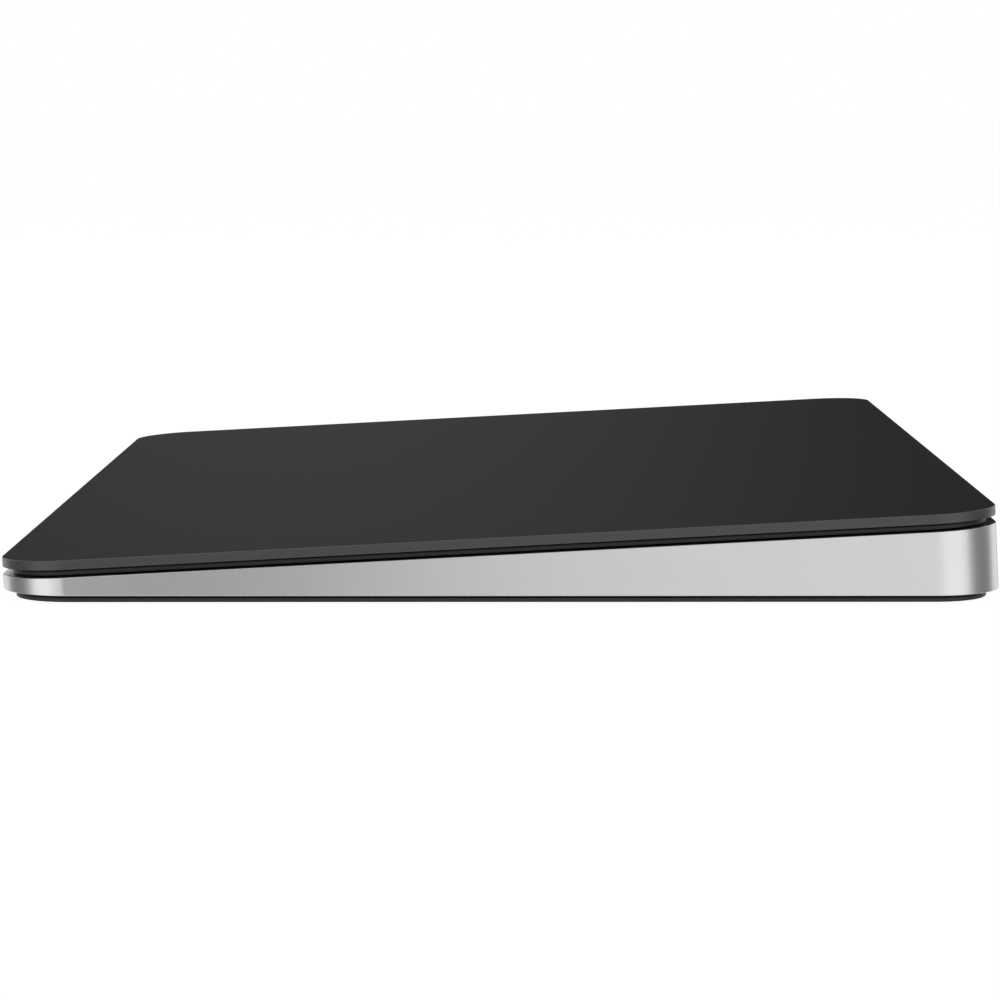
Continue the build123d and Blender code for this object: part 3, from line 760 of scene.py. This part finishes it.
class TRACKPAD_OT_shell(bpy.types.Operator):
    """Machined aluminium wedge with the openings for the port and the switch"""

    bl_idname = "trackpad.shell"
    bl_label = "Shell"

    def execute(self, context):
        sizes, colours = context.scene.trackpad_sizes, context.scene.trackpad_colours
        low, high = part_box("shell")
        rim = -(sizes.carrier_top + sizes.carrier_thickness + sizes.plate_gap)
        shape = plate(sizes.width, SURFACE_LENGTH, high.z, sizes.corner, sizes.corner_steps)
        bmesh.ops.translate(shape, vec=(0, 0, rim), verts=shape.verts)
        top, bottom = end_face(shape, 1), end_face(shape, -1)
        bmesh.ops.inset_region(shape, faces=[top], thickness=sizes.wall, use_even_offset=True)
        pocket = bmesh.ops.extrude_discrete_faces(shape, faces=[top])["faces"][0]
        for face, level in ((bottom, low.z), (pocket, low.z + sizes.deck)):
            for vertex in face.verts:
                vertex.co.z = level_on_line(vertex.co.y, level)
        broken = [
            edge for edge in shape.edges
            if all(abs(vertex.co.z - rim) < FLAT for vertex in edge.verts)
            and edge.calc_face_angle() > CORNER_ANGLE
        ]
        round_edges(shape, broken + list(bottom.edges), sizes.edge_round, steps=3)
        shape.transform(SURFACE)
        shape.normal_update()
        self.open_rear(shape, sizes)
        metal = blasted_metal(
            colours.aluminium, roughness=0.25, grain=0.12 * MM, relief=0.0003 * MM
        )
        finish = new_finish("anodised aluminium", metal)
        new_piece("shell_body", shape, [finish], "shell")
        seats = self.seats(low.z + sizes.deck, sizes.deck)
        new_piece("shell_seats", seats, [finish], "shell", stands_in=False)
        return {"FINISHED"}

    def seats(self, level, deck):
        """Seats, ribs and pads on the CAD shell's floor, which carry the inner pieces.

        They are cut off just above the floor's level, the walls are taken away, and their feet are
        closed half the floor's thickness further down.
        """
        shape = merged("shell")
        bmesh.ops.bisect_plane(
            shape, geom=shape.verts[:] + shape.edges[:] + shape.faces[:], dist=FLAT / 10,
            plane_co=(0, 0, level + 2 * FLAT), plane_no=(0, 0, 1), clear_inner=True,
        )
        front = [max(shape.verts, key=lambda vertex: vertex.co.z)]
        walls = set(front)
        while front:
            vertex = front.pop()
            reached = {edge.other_vert(vertex) for edge in vertex.link_edges} - walls
            walls |= reached
            front += reached
        bmesh.ops.delete(shape, geom=list(walls), context="VERTS")
        feet = [edge for edge in shape.edges if edge.is_boundary]
        roots = {vertex for edge in feet for vertex in edge.verts}
        bmesh.ops.triangle_fill(shape, use_beauty=True, edges=feet, normal=(0, 0, -1))
        bmesh.ops.translate(shape, vec=(0, 0, -deck / 2), verts=list(roots))
        bmesh.ops.recalc_face_normals(shape, faces=shape.faces)
        return shape

    def open_rear(self, shape, sizes):
        """Cuts the port and the switch slot through the rear wall."""
        backs = sorted(
            (face for face in shape.faces if abs(face.normal.y) > REARWARD),
            key=lambda face: face.calc_area(),
        )
        walls = [face for face in backs if face.calc_center_median().y > 0][-2:]
        openings = [("usb_receptacle", sizes.port_fit), ("switch_bezel", sizes.switch_fit)]
        rings = []
        for wall in walls:
            around = []
            for node, fit in openings:
                size = size_of(node)
                place = Vector((middle_of(node).x, 0, middle_of(node).z))
                ring = ring_of(shape, place, size.x + 2 * fit, size.z + 2 * fit, OPENING_STEPS)
                corner = wall.verts[0].co
                lean = wall.normal.z / wall.normal.y
                for vertex in ring:
                    vertex.co.y = corner.y - (vertex.co.z - corner.z) * lean
                around.append(ring)
            rings.append(around)
        for wall, around in zip(walls, rings):
            refill(shape, wall, around)
        for first, second in zip(*rings):
            bmesh.ops.bridge_loops(shape, edges=edges_of(first) + edges_of(second))
        outer = max(rings, key=lambda around: around[0][0].co.y)
        mouths = [edge for ring in outer for edge in edges_of(ring)]
        round_edges(shape, mouths, sizes.port_round, steps=3)


class TRACKPAD_OT_bottom_cover(bpy.types.Operator):
    """Black cover under the shell, with a round seat for each foot"""

    bl_idname = "trackpad.bottom_cover"
    bl_label = "Bottom Cover"

    def execute(self, context):
        sizes, colours = context.scene.trackpad_sizes, context.scene.trackpad_colours
        low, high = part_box("bottom_cover")
        size = high - low
        corner = sizes.corner - (sizes.width - size.x) / 2
        ledge = high.z - sizes.cover_rebate_height
        shape = plate(size.x, size.y, ledge - low.z, corner, sizes.corner_steps)
        middle = (low + high) / 2
        bmesh.ops.translate(shape, vec=(middle.x, middle.y, ledge), verts=shape.verts)
        round_edges(shape, list(end_face(shape, -1).edges), sizes.cover_lower_round, steps=3)
        top = end_face(shape, 1)
        rim = list(top.edges)
        bmesh.ops.inset_region(
            shape, faces=[top], thickness=sizes.cover_rebate_depth, use_even_offset=True
        )
        raised = bmesh.ops.extrude_discrete_faces(shape, faces=[top])["faces"][0]
        bmesh.ops.translate(shape, vec=(0, 0, sizes.cover_rebate_height), verts=raised.verts)
        round_edges(shape, rim, sizes.cover_round, steps=2)
        rings = []
        for node in FEET:
            radius = size_of(node).x / 2 + sizes.foot_fit
            spot = Matrix.Translation((middle_of(node).x, middle_of(node).y, low.z))
            ring = bmesh.ops.create_circle(shape, segments=FOOT_STEPS, radius=radius, matrix=spot)
            rings.append(ring["verts"])
        refill(shape, end_face(shape, -1), rings)
        for node, ring in zip(FEET, rings):
            walls = bmesh.ops.extrude_edge_only(shape, edges=edges_of(ring))["geom"]
            risen = [item for item in walls if isinstance(item, bmesh.types.BMVert)]
            bmesh.ops.translate(shape, vec=(0, 0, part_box(node)[1].z - low.z), verts=risen)
            bmesh.ops.contextual_create(shape, geom=edges_of(risen))
        bmesh.ops.recalc_face_normals(shape, faces=shape.faces)
        plastic = moulded(
            colours.cover, roughness=0.42, grain=0.12 * MM, relief=0.003 * MM, shine=0.1
        )
        finish = new_finish("cover plastic", plastic)
        new_piece("cover_plate", shape, [finish], "bottom_cover")
        return {"FINISHED"}


class TRACKPAD_OT_feet(bpy.types.Operator):
    """Round rubber feet"""

    bl_idname = "trackpad.feet"
    bl_label = "Feet"

    def execute(self, context):
        sizes, colours = context.scene.trackpad_sizes, context.scene.trackpad_colours
        rubber = moulded(colours.foot, roughness=0.7, grain=0.15 * MM, relief=0.008 * MM)
        finish = new_finish("foot rubber", rubber)
        for node in FEET:
            low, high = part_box(node)
            shape = bmesh.new()
            radius = (high.x - low.x) / 2
            bmesh.ops.create_cone(
                shape, cap_ends=True, segments=FOOT_STEPS, radius1=radius, radius2=radius,
                depth=high.z - low.z, matrix=Matrix.Translation((low + high) / 2),
            )
            round_edges(shape, list(end_face(shape, -1).edges), sizes.foot_round, steps=3)
            new_piece(node + "_pad", shape, [finish], node)
        return {"FINISHED"}


class TRACKPAD_OT_port(bpy.types.Operator):
    """Socket at the rear: its metal shell, and its tongue with contacts on both faces"""

    bl_idname = "trackpad.port"
    bl_label = "Port"

    def execute(self, context):
        sizes, colours = context.scene.trackpad_sizes, context.scene.trackpad_colours
        plating = drawn_metal(
            colours.contacts, roughness=0.25, grain=0.1 * MM, stretch=(1, 0.1, 1)
        )
        gold = new_finish("contact gold", plating)
        for name, node in (("port_shell", "usb_receptacle"), ("port_tongue", "usb_tongue")):
            new_piece(name, softened(node, sizes.small_round), [inner_finish(SLOT_OF[node])], node)
        new_piece("port_contacts", self.contacts(sizes), [gold], "usb_tongue", stands_in=False)
        return {"FINISHED"}

    def contacts(self, sizes):
        """Flat contacts side by side on the upper and the lower face of the tongue."""
        shape = bmesh.new()
        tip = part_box("usb_tongue")[1].y
        middle = middle_of("usb_tongue")
        y = tip - sizes.contact_tip - sizes.contact_length / 2
        size = (sizes.contact_width, sizes.contact_length, 2 * sizes.contact_height)
        strip = Matrix.Diagonal((*size, 1))
        for index in range(sizes.contact_count):
            x = middle.x + (index - (sizes.contact_count - 1) / 2) * sizes.contact_pitch
            for side in (-1, 1):
                spot = Matrix.Translation((x, y, middle.z + side * sizes.tongue_thickness / 2))
                bmesh.ops.create_cube(shape, size=1, matrix=spot @ strip)
        return shape


class TRACKPAD_OT_switch(bpy.types.Operator):
    """Power switch at the rear: bezel, sliding knob and green mark"""

    bl_idname = "trackpad.switch"
    bl_label = "Power Switch"

    def execute(self, context):
        sizes, colours = context.scene.trackpad_sizes, context.scene.trackpad_colours
        plastic = moulded(colours.switch, roughness=0.4, grain=0.06 * MM, relief=0.002 * MM)
        metal = blasted_metal(
            colours.aluminium, roughness=0.3, grain=0.08 * MM, relief=0.0005 * MM
        )
        paint = moulded(colours.mark, roughness=0.4, grain=0.06 * MM, relief=0.001 * MM)
        black = new_finish("switch plastic", plastic)
        silver = new_finish("knob metal", metal)
        green = new_finish("mark paint", paint)
        for name, node, finish in (
            ("switch_frame", "switch_bezel", black), ("switch_slider", "switch_knob", silver)
        ):
            new_piece(name, softened(node, sizes.small_round), [finish], node)
        mark = frame["nodes"]["switch_mark"].data
        mark.materials.clear()
        mark.materials.append(green)
        return {"FINISHED"}


class TRACKPAD_OT_springs(bpy.types.Operator):
    """Leaf springs and the sensor's flat cable, cut into steps along the length that would bend as the plate is
    pressed
    """

    bl_idname = "trackpad.springs"
    bl_label = "Springs and Sensor Cable"

    def execute(self, context):
        sizes = context.scene.trackpad_sizes
        steel, film = inner_finish("spring_steel"), inner_finish("flex_cable")
        for node in SPRINGS:
            low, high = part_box(node)
            start = middle_of(node)
            end = start.copy()
            if start.x > 0:
                start.x, end.x = high.x - sizes.spring_held, low.x + sizes.spring_bonded
            else:
                start.x, end.x = low.x + sizes.spring_held, high.x - sizes.spring_bonded
            name = node.replace("flexure", "spring")
            bending_piece(name, node, steel, start, end, sizes.bend_steps)
        low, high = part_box("sensor_tail")
        start = middle_of("sensor_tail")
        end = start.copy()
        start.z, end.z = low.z + sizes.cable_flat, high.z - sizes.cable_flat
        bending_piece("sensor_cable", "sensor_tail", film, start, end, sizes.bend_steps)
        return {"FINISHED"}


class TRACKPAD_OT_inside(bpy.types.Operator):
    """Finishes of the CAD nodes inside the shell"""

    bl_idname = "trackpad.inside"
    bl_label = "Inner Pieces"

    def execute(self, context):
        for node, piece in frame["nodes"].items():
            if SLOT_OF[node] in INNER_FINISHES:
                piece.data.materials.clear()
                piece.data.materials.append(inner_finish(SLOT_OF[node]))
        return {"FINISHED"}


# Floor: metres from its middle to its sides, how much of what the eye sees of it is glow instead of
# lit paper, the strength of that glow, with which the two add up to white, and the paper's colour
FLOOR_REACH = 60
FLOOR_GLOW_SHARE = 0.95
FLOOR_GLOW = 1.025
FLOOR_PAPER = (0.9, 0.9, 0.9, 1)

WHITE = (1, 1, 1, 1)

# Soft lamps: azimuth from +X towards +Y, height, distance along the floor and size in metres, and
# power in watts
LAMPS = [
    ("top lamp", radians(-20), 0.75, 0.35, 0.9, 4.2),
    ("left lamp", radians(-42), 0.3, 1.0, 0.7, 2.0),
    ("right lamp", radians(40), 0.3, 1.0, 0.7, 2.0),
]

# Cards: azimuth from +X towards +Y, distance, half of the angle that it spans, height in metres,
# brightness in the middle and at the upright edges, and how late it turns from one to the other
CARDS = [
    ("front flag", radians(-7.5), 1.2, radians(3.7), 3.0, 0.04, 0.04, 1),
    ("left soft card", radians(-44), 1.2, radians(17), 3.0, 1.28, 1.1, 2),
    ("right soft card", radians(40), 1.2, radians(21), 3.0, 1.24, 1.1, 2),
    ("left flag", radians(-93.5), 1.2, radians(33), 3.0, 0.27, 1.1, 3),
    ("right flag", radians(92.5), 1.2, radians(32.5), 3.0, 0.27, 1.1, 3),
    ("back flag", radians(180), 1.7, radians(24), 8.0, 0.02, 0.02, 1),
    ("back soft card", radians(185.2), 1.6, radians(12.5), 8.0, 0.94, 0.02, 2),
]


class TRACKPAD_OT_stage(bpy.types.Operator):
    """Floor, soft lamps, reflecting cards, surroundings and camera"""

    bl_idname = "trackpad.stage"
    bl_label = "Stage"

    def execute(self, context):
        studio = context.scene.trackpad_studio
        context.scene.view_settings.view_transform = "Standard"
        self.light_world(context.scene, studio.daylight)
        self.lay_floor(context.scene)
        for lamp in LAMPS:
            self.hang_lamp(context.scene, *lamp)
        for card in CARDS:
            self.stand_card(context.scene, *card)
        self.set_camera(context.scene, studio)
        return {"FINISHED"}

    def background_share(self, maker):
        """1 for rays that show the background: to the eye, in a reflection or through glass."""
        kinds = ("Is Camera Ray", "Is Glossy Ray", "Is Transmission Ray")
        eye, mirror, through = (maker.node("ShaderNodeLightPath", output=kind) for kind in kinds)
        settings = {"operation": "ADD", "use_clamp": True}
        return maker.node("ShaderNodeMath", settings, {0: eye + mirror, 1: through})

    def light_world(self, scene, daylight):
        """Even light from all around, with a white background."""
        scene.world = bpy.data.worlds.new("studio")
        scene.world.use_nodes = True
        maker = NodeMaker(scene.world.node_tree)
        strength = daylight + (1 - daylight) * self.background_share(maker)
        light = maker.node("ShaderNodeBackground", {}, {"Color": WHITE, "Strength": strength})
        maker.node("ShaderNodeOutputWorld", {}, {"Surface": light})

    def new_sheet(self, scene, name, width, height):
        """Flat sheet, face up, and a maker for the nodes of its finish."""
        shape = bmesh.new()
        bmesh.ops.create_grid(shape, x_segments=1, y_segments=1, size=0.5)
        bmesh.ops.scale(shape, vec=(width, height, 1), verts=shape.verts)
        data = bpy.data.meshes.new(name)
        shape.to_mesh(data)
        shape.free()
        sheet = bpy.data.objects.new(name, data)
        scene.collection.objects.link(sheet)
        finish = bpy.data.materials.new(name)
        finish.use_nodes = True
        data.materials.append(finish)
        return sheet, NodeMaker(finish.node_tree)

    def lay_floor(self, scene):
        """White floor that keeps a faint shadow."""
        floor, maker = self.new_sheet(scene, "floor", 2 * FLOOR_REACH, 2 * FLOOR_REACH)
        floor.visible_glossy = False
        paper = maker.node("ShaderNodeBsdfDiffuse", {}, {"Color": FLOOR_PAPER})
        glow = maker.node("ShaderNodeEmission", {}, {"Color": WHITE, "Strength": FLOOR_GLOW})
        share = FLOOR_GLOW_SHARE * self.background_share(maker)
        both = maker.node("ShaderNodeMixShader", {}, {0: share, 1: paper, 2: glow})
        maker.node("ShaderNodeOutputMaterial", {}, {"Surface": both})

    def hang_lamp(self, scene, name, azimuth, height, reach, size, power):
        """Square soft lamp that faces the trackpad, at an azimuth from +X."""
        light = bpy.data.lights.new(name, "AREA")
        light.shape = "SQUARE"
        light.size = size
        light.energy = power
        lamp = bpy.data.objects.new(name, light)
        lamp.location = (reach * cos(azimuth), reach * sin(azimuth), height)
        lamp.rotation_euler = (-lamp.location).to_track_quat("-Z", "Y").to_euler()
        lamp.visible_camera = lamp.visible_glossy = False
        scene.collection.objects.link(lamp)

    def stand_card(self, scene, name, azimuth, reach, half_angle, height, shade, edge_shade, delay):
        """Upright card that only reflections show, with another shade at its sides."""
        half_width = reach * tan(half_angle)
        card, maker = self.new_sheet(scene, name, 2 * half_width, height)
        card.location = (reach * cos(azimuth), reach * sin(azimuth), 0)
        card.rotation_euler = (pi / 2, 0, azimuth - pi / 2)
        card.visible_camera = card.visible_diffuse = card.visible_shadow = False
        card.visible_transmission = False
        spot = maker.node("ShaderNodeTexCoord", output="Object")
        across = maker.node("ShaderNodeSeparateXYZ", {}, {"Vector": spot}) * (1 / half_width)
        reached = maker.node("ShaderNodeMath", {"operation": "ABSOLUTE"}, {0: across})
        share = maker.node("ShaderNodeMath", {"operation": "POWER"}, {0: reached, 1: delay})
        middle, edges = ((grey, grey, grey, 1) for grey in (shade, edge_shade))
        colour = maker.blend(share, middle, edges)
        glow = maker.node("ShaderNodeEmission", {}, {"Color": colour, "Strength": 1.0})
        maker.node("ShaderNodeOutputMaterial", {}, {"Surface": glow})

    def set_camera(self, scene, studio):
        """Camera at the photograph's place."""
        data = bpy.data.cameras.new("camera")
        data.lens = studio.lens
        data.sensor_width = SENSOR_WIDTH
        camera = bpy.data.objects.new("camera", data)
        turn = Matrix.Rotation(studio.camera_turn, 4, "Z")
        pitch = Matrix.Rotation(pi / 2 - studio.camera_pitch, 4, "X")
        roll = Matrix.Rotation(studio.camera_roll, 4, "Z")
        camera.matrix_world = Matrix.Translation(studio.camera_place) @ turn @ pitch @ roll
        scene.collection.objects.link(camera)
        scene.camera = camera


OPERATORS = [
    TRACKPAD_OT_touch_glass, TRACKPAD_OT_carrier, TRACKPAD_OT_shell, TRACKPAD_OT_bottom_cover,
    TRACKPAD_OT_feet, TRACKPAD_OT_port, TRACKPAD_OT_switch, TRACKPAD_OT_springs, TRACKPAD_OT_inside,
    TRACKPAD_OT_stage,
]


class TRACKPAD_PT_panel(bpy.types.Panel):
    """Lists the trackpad's pieces and the stage"""

    bl_idname = "TRACKPAD_PT_panel"
    bl_label = "Trackpad"
    bl_space_type = "VIEW_3D"
    bl_region_type = "UI"
    bl_category = "Trackpad"

    def draw(self, context):
        scene = context.scene
        for group in (scene.trackpad_sizes, scene.trackpad_colours, scene.trackpad_studio):
            for name in group.__annotations__:
                self.layout.prop(group, name)
        for operator in OPERATORS:
            self.layout.operator(operator.bl_idname)


CLASSES = [TrackpadSizes, TrackpadColours, StudioSettings, *OPERATORS, TRACKPAD_PT_panel]


def register():
    for item in CLASSES:
        bpy.utils.register_class(item)
    bpy.types.Scene.trackpad_sizes = PointerProperty(type=TrackpadSizes)
    bpy.types.Scene.trackpad_colours = PointerProperty(type=TrackpadColours)
    bpy.types.Scene.trackpad_studio = PointerProperty(type=StudioSettings)


def unregister():
    del bpy.types.Scene.trackpad_sizes
    del bpy.types.Scene.trackpad_colours
    del bpy.types.Scene.trackpad_studio
    for item in reversed(CLASSES):
        bpy.utils.unregister_class(item)


def main():
    register()
    for operator in OPERATORS:
        group, name = operator.bl_idname.split(".")
        getattr(getattr(bpy.ops, group), name)()


if __name__ == "__main__":
    main()
